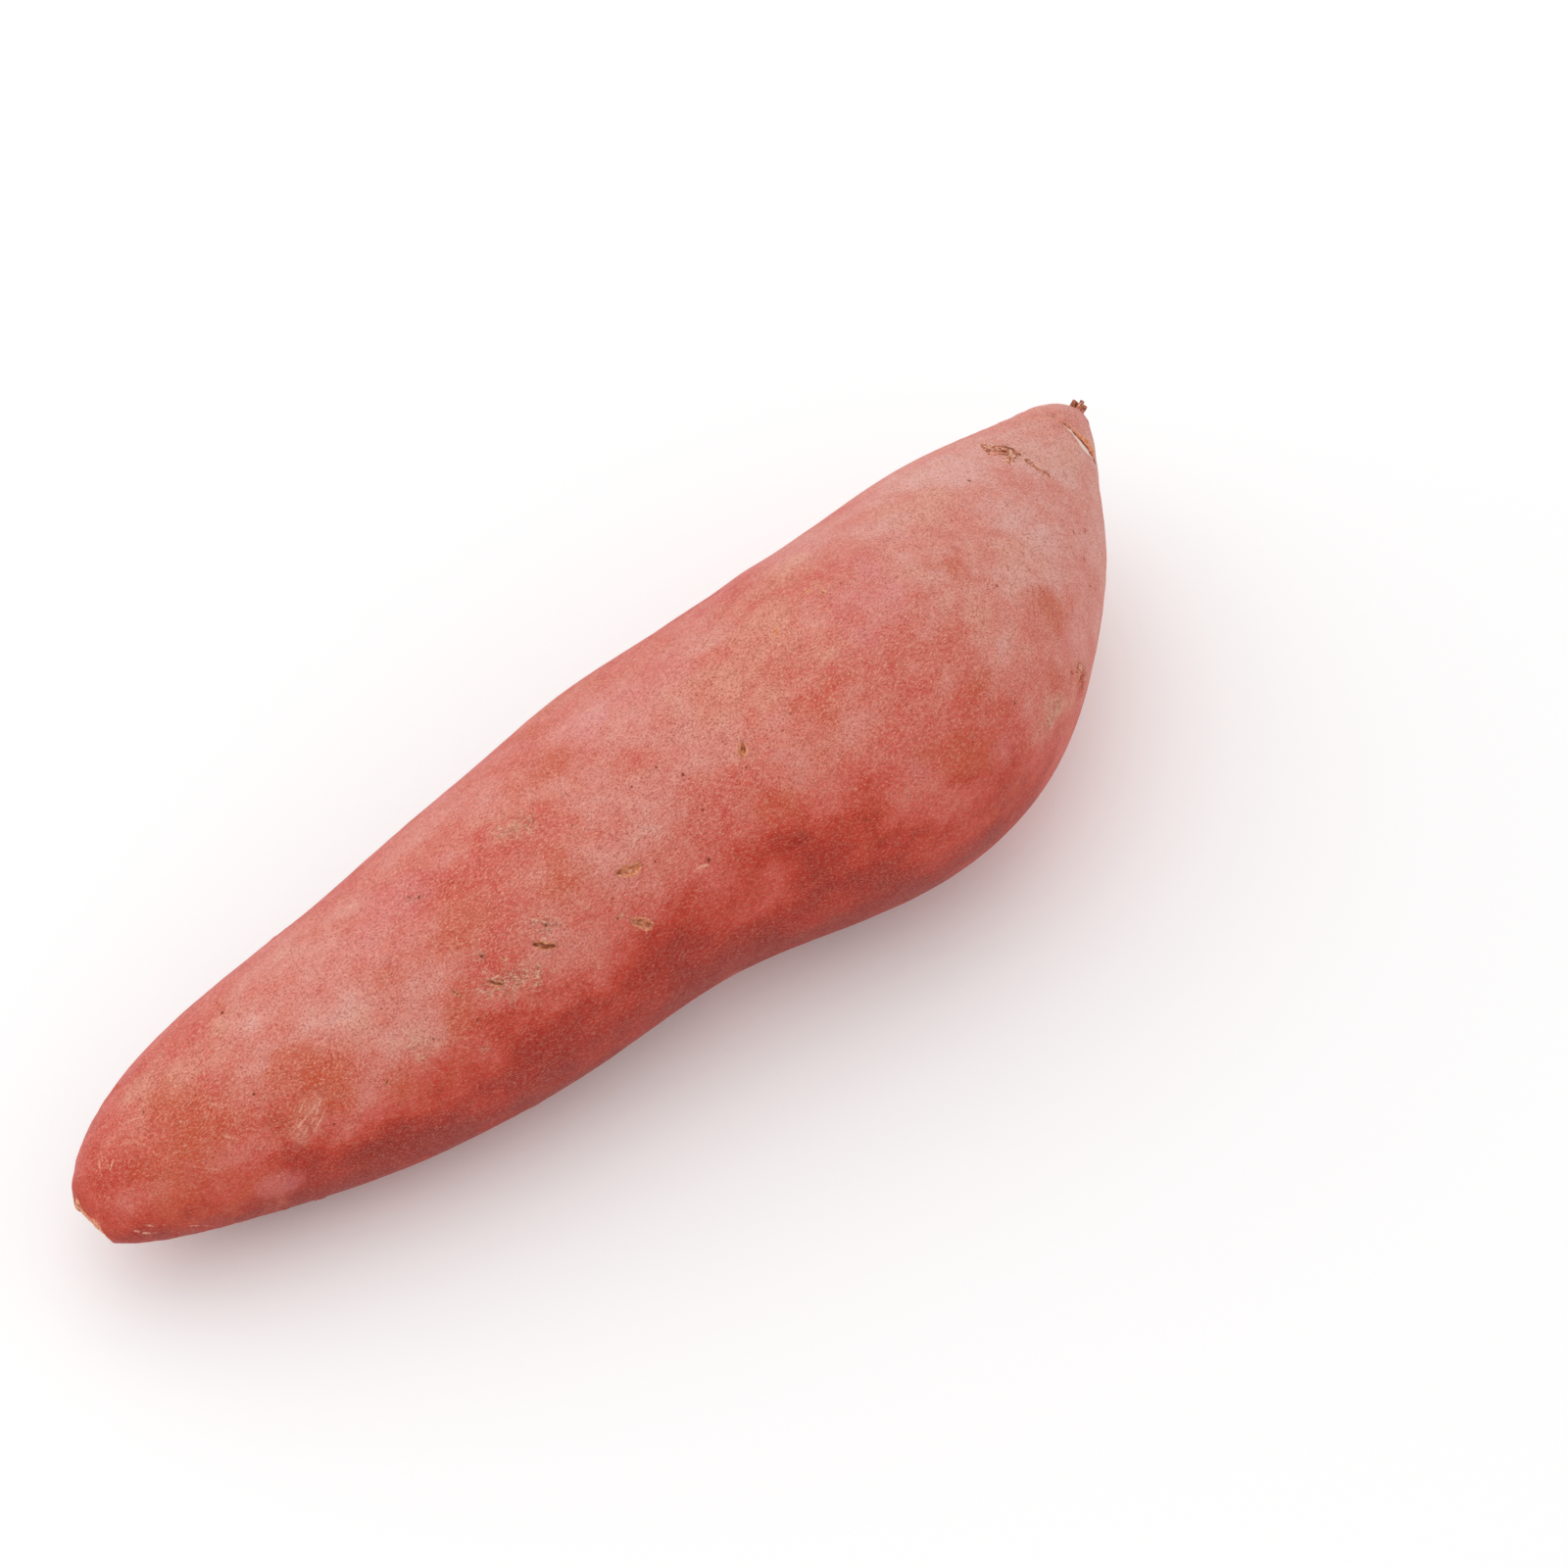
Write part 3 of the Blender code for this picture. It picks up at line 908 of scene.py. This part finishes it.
class Shading:
    """Shorthand for building one material's nodes. Sizes are in millimetres."""

    def __init__(self, name):
        self.material = bpy.data.materials.new(name)
        self.material.use_nodes = True
        self.nodes = self.material.node_tree.nodes
        self.links = self.material.node_tree.links
        self.shader = self.nodes["Principled BSDF"]
        self.object_space = self.nodes.new("ShaderNodeTexCoord").outputs["Object"]

    def put(self, socket, value):
        """Gives a socket a value, or links it to the socket that makes one."""
        if isinstance(value, bpy.types.NodeSocket):
            self.links.new(value, socket)
        else:
            socket.default_value = value

    def attribute(self, name):
        node = self.nodes.new("ShaderNodeAttribute")
        node.attribute_name = name
        return node.outputs["Fac"]

    def stretched(self, stretch, offset, heading):
        node = self.nodes.new("ShaderNodeMapping")
        node.vector_type = "TEXTURE"
        node.inputs["Scale"].default_value = stretch
        node.inputs["Rotation"].default_value = (0.0, 0.0, math.radians(heading))
        node.inputs["Location"].default_value = (offset, offset, offset)
        self.links.new(self.object_space, node.inputs["Vector"])
        return node.outputs["Vector"]

    def noise(self, size, detail=2.0, stretch=(1.0, 1.0, 1.0), offset=0.0, roughness=0.5, heading=0.0):
        """Noise with swells of this size, stretched along X once that is turned to its heading round Z."""
        node = self.nodes.new("ShaderNodeTexNoise")
        node.inputs["Scale"].default_value = 1 / (size * MM)
        node.inputs["Detail"].default_value = detail
        node.inputs["Roughness"].default_value = roughness
        self.links.new(self.stretched(stretch, offset, heading), node.inputs["Vector"])
        return node.outputs["Fac"]

    def math(self, operation, *values):
        node = self.nodes.new("ShaderNodeMath")
        node.operation = operation
        for socket, value in zip(node.inputs, values):
            self.put(socket, value)
        return node.outputs["Value"]

    def product(self, first, second):
        return self.math("MULTIPLY", first, second)

    def band(self, value, low, high, bottom=0.0, top=1.0):
        """Rises smoothly from the bottom, where the value is low, to the top, where it is high."""
        node = self.nodes.new("ShaderNodeMapRange")
        node.interpolation_type = "SMOOTHSTEP"
        node.inputs["From Min"].default_value = low
        node.inputs["From Max"].default_value = high
        node.inputs["To Min"].default_value = bottom
        node.inputs["To Max"].default_value = top
        self.put(node.inputs["Value"], value)
        return node.outputs["Result"]

    def ramp(self, value, stops):
        """A colour for each value, run smoothly through the stops."""
        node = self.nodes.new("ShaderNodeValToRGB")
        marks = node.color_ramp.elements
        while len(marks) < len(stops):
            marks.new(1.0)
        for mark, (position, colour) in zip(marks, stops):
            mark.position = position
            mark.color = colour
        self.put(node.inputs["Fac"], value)
        return node.outputs["Color"]

    def mix(self, under, over, share):
        """The colour under, covered by the colour over as far as the share says."""
        node = self.nodes.new("ShaderNodeMix")
        node.data_type = "RGBA"
        self.put(node.inputs["Factor"], share)
        self.put(node.inputs[6], under)
        self.put(node.inputs[7], over)
        return node.outputs[2]

    def bump(self, height, depth, normal=None):
        node = self.nodes.new("ShaderNodeBump")
        node.inputs["Distance"].default_value = depth * MM
        self.put(node.inputs["Height"], height)
        if normal is not None:
            self.links.new(normal, node.inputs["Normal"])
        return node.outputs["Normal"]

    def contour(self, value, width, level=0.5):
        """Curly lines, where the value passes a level."""
        away = self.math("ABSOLUTE", self.math("SUBTRACT", value, level))
        return self.band(away, width, 0.0)

    def masked(self, name, blotches, spread, low, high, top=1.0):
        """A mask of the skin, its edge broken up by noise."""
        shift = self.product(self.math("SUBTRACT", blotches, 0.5), spread)
        return self.band(self.math("ADD", self.attribute(name), shift), low, high, top=top)


def cloud_colour(make, cloudy):
    """The skin's large patches: pale and dark red clouds, darker where shade is painted on the skin that
    turns down, with mauve pink ones (partly a painted sheen), dusty and orange ones over them.
    """
    clouds = make.noise(15, 7.0, stretch=(1.3, 1.0, 1.0), roughness=0.66)
    blotch = make.noise(7, 6.0, offset=3.0, roughness=0.66)
    tone = make.math("MULTIPLY_ADD", clouds, 1.05, -0.09)
    tone = make.math("MULTIPLY_ADD", cloudy, 0.4, tone)
    tone = make.math("MULTIPLY_ADD", make.attribute("pale"), 0.24, tone)
    # Painted shade, together with the redder root end, pulls the tone down to the darker reds.
    tone = make.math("MULTIPLY_ADD", make.attribute("deep"), -0.3, tone)
    colour = make.ramp(tone, TONES)
    # Real mauve pink patches, and a painted sheen on the upper skin that faces +Y.
    colour = make.mix(colour, LILAC_AND_SHEEN, make.masked("lilac_and_sheen", blotch, 2.0, 0.3, 1.1, 0.65))
    colour = make.mix(colour, DUSTY, make.masked("dusty", cloudy, 2.2, 0.25, 1.0, 0.65))
    return make.mix(colour, WARM, make.masked("warm", blotch, 2.4, 0.2, 1.0, 0.75))


def add_grain(make, colour, grain, mottle, curls, threads):
    """Dark specks and curls, and pale fibres and wisps that are fainter where the skin is darker red, mostly
    where shade is painted.
    """
    specks = make.noise(0.3, 2.0, offset=2.0, roughness=0.7)
    fibres = make.noise(0.22, 2.0, stretch=(3.0, 1.0, 1.0), offset=5.0, roughness=0.7)
    calm = make.band(make.attribute("deep"), 0.1, 1.0, 1.0, 0.4)
    wisps = make.product(threads, make.band(grain, 0.35, 0.6, top=0.3))
    dusty = make.band(make.attribute("dusty"), 0.0, 0.8, 0.3, 0.65)
    curly = make.product(dusty, make.band(mottle, 0.35, 0.6))
    colour = make.mix(colour, GRAIN_DARK, make.band(specks, 0.46, 0.66, top=0.7))
    colour = make.mix(colour, GRAIN_PALE, make.product(calm, make.band(fibres, 0.5, 0.68, top=0.66)))
    colour = make.mix(colour, GRAIN_PALE, make.product(calm, wisps))
    return make.mix(colour, GRAIN_DARK, make.product(curls, curly))


def add_marks(make, colour, grain, mottle, curls, threads, crackle):
    """Colours the scratches, the dry patches, the cork, the scabs, the bare flesh and the dark bottoms."""
    ridges = make.noise(1.5, 3.0, offset=29.0, roughness=0.6)
    colour = make.mix(colour, GRAIN_PALE, make.masked("scratch", grain, 1.2, 0.35, 1.0, 0.7))
    colour = make.mix(colour, DUSTY, make.product(crackle, 0.2))
    colour = make.mix(colour, TAN, make.product(crackle, threads))
    colour = make.mix(colour, UMBER, make.product(crackle, make.product(curls, 0.6)))
    cork = make.mix(OCHRE, TAN, make.band(grain, 0.42, 0.65))
    colour = make.mix(colour, cork, make.masked("cork", grain, 0.8, 0.35, 0.85))
    scab = make.masked("scab", mottle, 1.0, 0.3, 0.7)
    for over, width, level in ((OCHRE, 0.16, 0.5), (TAN, 0.05, 0.58), (BROWN, 0.06, 0.5)):
        colour = make.mix(colour, over, make.product(scab, make.contour(ridges, width, level)))
    colour = make.mix(colour, CREAM, make.masked("cream", grain, 0.5, 0.35, 0.9))
    return make.mix(colour, BROWN, make.masked("brown", grain, 0.6, 0.3, 0.9, 0.9))


def skin_material():
    """Matt skin with clouds, grain, fine wrinkles and the colours of its marks."""
    make = Shading("skin")
    cloudy = make.noise(6, 6.0, stretch=(1.3, 1.0, 1.0), offset=7.0, roughness=0.68)
    mottle = make.noise(1.8, 4.0, offset=11.0, roughness=0.7)
    grain = make.noise(0.4, 3.0, roughness=0.75)
    wrinkles = make.noise(1.5, 4.0, stretch=(0.8, 1.6, 1.6), roughness=0.65)
    curls = make.contour(make.noise(0.8, 2.0, offset=19.0), 0.05)
    threads = make.contour(make.noise(0.75, 2.0, stretch=(3.0, 1.0, 1.0), offset=23.0, heading=-35.0), 0.06)
    crackle = make.masked("crackle", mottle, 2.4, 0.3, 1.1)

    colour = cloud_colour(make, cloudy)
    colour = add_grain(make, colour, grain, mottle, curls, threads)
    colour = add_marks(make, colour, grain, mottle, curls, threads, crackle)
    make.put(make.shader.inputs["Base Color"], colour)

    make.put(make.shader.inputs["Roughness"], make.band(cloudy, 0.3, 0.7, 0.48, 0.62))
    make.shader.inputs["Specular IOR Level"].default_value = 0.2
    make.shader.inputs["Sheen Weight"].default_value = 0.05
    make.shader.inputs["Sheen Roughness"].default_value = 0.4
    make.shader.inputs["Sheen Tint"].default_value = SHEEN_TINT
    normal = make.bump(wrinkles, 0.16)
    normal = make.bump(grain, 0.16, normal)
    normal = make.bump(make.product(crackle, make.math("SUBTRACT", threads, curls)), 0.1, normal)
    make.put(make.shader.inputs["Normal"], normal)
    return make.material


STRANDS = 7  # one in the middle of the rest
STRAND_STEPS = 9
STRAND_RADIUS = 0.52 * MM
STUB_ROOTED = 1.2 * MM  # how deep the strands start under the skin
STUB_SEED = 5


def strand_mesh(points, radii):
    """A closed tube along the points, as thick as the radii say."""
    curve = bpy.data.curves.new("strand", "CURVE")
    curve.dimensions = "3D"
    curve.bevel_depth = 1.0
    curve.bevel_resolution = 3
    curve.use_fill_caps = True
    spline = curve.splines.new("POLY")
    spline.points.add(len(points) - 1)
    for spot, point, radius in zip(spline.points, points, radii):
        spot.co = (*point, 1.0)
        spot.radius = radius
    strand = bpy.data.objects.new("strand", curve)
    bpy.context.scene.collection.objects.link(strand)
    bpy.context.view_layer.update()
    mesh = bpy.data.meshes.new_from_object(strand.evaluated_get(bpy.context.evaluated_depsgraph_get()))
    bpy.data.objects.remove(strand, do_unlink=True)
    return mesh


def strand_path(rng, base, axis, reach, out):
    """Points of one strand, which sways and leans outward on its way up, and its radius at each."""
    points, radii = [], []
    for step in range(STRAND_STEPS):
        share = step / (STRAND_STEPS - 1)
        sway = Vector([rng.uniform(-0.08, 0.08) * MM for _ in range(3)])
        up = share * (reach + STUB_ROOTED) - STUB_ROOTED
        points.append(base + axis * up + (0.95 + 0.3 * share) * out + sway)
        radii.append(STRAND_RADIUS * rng.uniform(0.85, 1.15) * (1.1 - 0.25 * share))
    return points, radii


def make_stub(tuber):
    """The dried vine stub: a bundle of split fibres, broken off at different lengths."""
    rng = random.Random(STUB_SEED)
    axis, length = tuber.stub_axis, tuber.stub_length
    base = tuber.stub_end - length * axis
    aside = axis.orthogonal().normalized()
    bundle = bmesh.new()
    for number in range(STRANDS):
        turn = math.tau * number / (STRANDS - 1) + rng.uniform(-0.3, 0.3)
        gap = 0.0 if number == 0 else 0.62 * tuber.stub_radius
        reach = length * (rng.uniform(0.55, 1.0) if number else 0.8)
        out = gap * (Matrix.Rotation(turn, 3, axis) @ aside)
        bundle.from_mesh(strand_mesh(*strand_path(rng, base, axis, reach, out)))
    bmesh.ops.remove_doubles(bundle, verts=bundle.verts, dist=0.01 * MM)
    for vert in bundle.verts:
        rough = noise.noise(vert.co / (0.5 * MM))
        vert.co += 0.14 * MM * rough * (vert.co - base - axis * (vert.co - base).dot(axis)).normalized()
    mesh = bpy.data.meshes.new("stub_fibres")
    bundle.to_mesh(mesh)
    bundle.free()
    mesh.shade_smooth()
    mesh.materials.append(stub_material())
    stub = bpy.data.objects.new("stub_fibres", mesh)
    bpy.context.scene.collection.objects.link(stub)
    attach(stub, "root")


def stub_material():
    """Dry brown fibre with pale and dark stripes along it."""
    make = Shading("dried_stem")
    stripes = make.noise(0.32, 2.0, stretch=(6.0, 1.0, 1.6), roughness=0.6)
    blotch = make.noise(0.9, 2.0, offset=4.0)
    colour = make.mix(FIBRE, FIBRE_WARM, make.band(blotch, 0.4, 0.55))
    colour = make.mix(colour, FIBRE_PALE, make.band(stripes, 0.52, 0.62, top=0.9))
    colour = make.mix(colour, FIBRE_DARK, make.band(stripes, 0.45, 0.36, top=0.85))
    make.put(make.shader.inputs["Base Color"], colour)
    make.shader.inputs["Roughness"].default_value = 0.75
    make.put(make.shader.inputs["Normal"], make.bump(stripes, 0.12))
    return make.material


def make_floor():
    """A plain pale floor."""
    bpy.ops.mesh.primitive_plane_add(size=FLOOR_SIZE)
    floor = bpy.context.object
    floor.name = "floor"
    material = bpy.data.materials.new("floor")
    material.use_nodes = True
    shader = material.node_tree.nodes["Principled BSDF"]
    shader.inputs["Base Color"].default_value = FLOOR_WHITE
    shader.inputs["Roughness"].default_value = 0.9
    shader.inputs["Specular IOR Level"].default_value = 0.1
    shader.inputs["Emission Color"].default_value = WHITE
    shader.inputs["Emission Strength"].default_value = FLOOR_GLOW
    floor.data.materials.append(material)


def camera_axes():
    """Unit vectors to the camera's right, up, and back from what it looks at."""
    right = Vector((math.cos(AZIMUTH), math.sin(AZIMUTH), 0.0))
    level = Vector((math.sin(AZIMUTH), -math.cos(AZIMUTH), 0.0))
    back = math.cos(ELEVATION) * level + math.sin(ELEVATION) * Vector((0.0, 0.0, 1.0))
    return right, back.cross(right), back


def make_camera(middle):
    """Looks at the tuber from above its bowed side."""
    right, up, back = camera_axes()
    data = bpy.data.cameras.new("camera")
    data.lens = LENS
    camera = bpy.data.objects.new("camera", data)
    camera.location = middle + AIM_RIGHT * right + AIM_UP * up + DISTANCE * back
    camera.rotation_euler = back.to_track_quat("Z", "Y").to_euler()
    bpy.context.scene.collection.objects.link(camera)
    bpy.context.scene.camera = camera


def make_light(middle):
    """A soft square lamp, placed by the camera's axes and turned to the tuber."""
    away = sum((by * axis for by, axis in zip(KEY_AWAY, camera_axes())), Vector())
    data = bpy.data.lights.new("key", "AREA")
    data.size = KEY_SIZE
    data.energy = KEY_POWER
    light = bpy.data.objects.new("key", data)
    light.location = middle + away
    light.rotation_euler = away.to_track_quat("Z", "Y").to_euler()
    bpy.context.scene.collection.objects.link(light)


def make_world():
    """Even white light from all sides."""
    world = bpy.data.worlds.new("studio")
    world.use_nodes = True
    background = world.node_tree.nodes["Background"]
    background.inputs["Color"].default_value = WHITE
    background.inputs["Strength"].default_value = WORLD_STRENGTH
    bpy.context.scene.world = world
    bpy.context.scene.view_settings.view_transform = "Standard"


cad_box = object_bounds()
box_middle = (cad_box[0] + cad_box[1]) / 2
tuber = Tuber()
make_skin(tuber)
make_stub(tuber)
make_floor()
make_camera(box_middle)
make_light(box_middle)
make_world()
